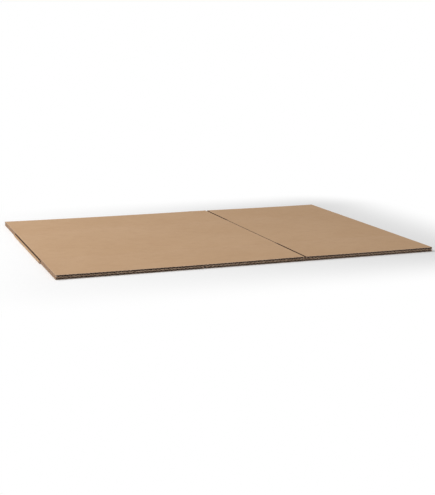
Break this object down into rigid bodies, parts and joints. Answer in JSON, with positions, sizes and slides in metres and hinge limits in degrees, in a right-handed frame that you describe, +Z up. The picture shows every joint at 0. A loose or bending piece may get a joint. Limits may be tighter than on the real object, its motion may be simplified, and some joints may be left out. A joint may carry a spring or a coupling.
{
  "type": "flattened cardboard box",
  "caption": "Plain corrugated shipping carton folded flat, with slotted flaps along both long sides and a glued joint.",
  "frame": {"origin": "middle of the underside, where the flat box rests on the floor", "axes": "+X along the folded length towards the glued joint's side, +Y along the flutes, +Z up through the two layers"},
  "size_m": [0.772, 0.57, 0.0092],
  "materials": {
    "kraft_board": "matte"
  },
  "bodies": {
    "root": {"flattened_box": "kraft_board"}
  },
  "joints": []
}
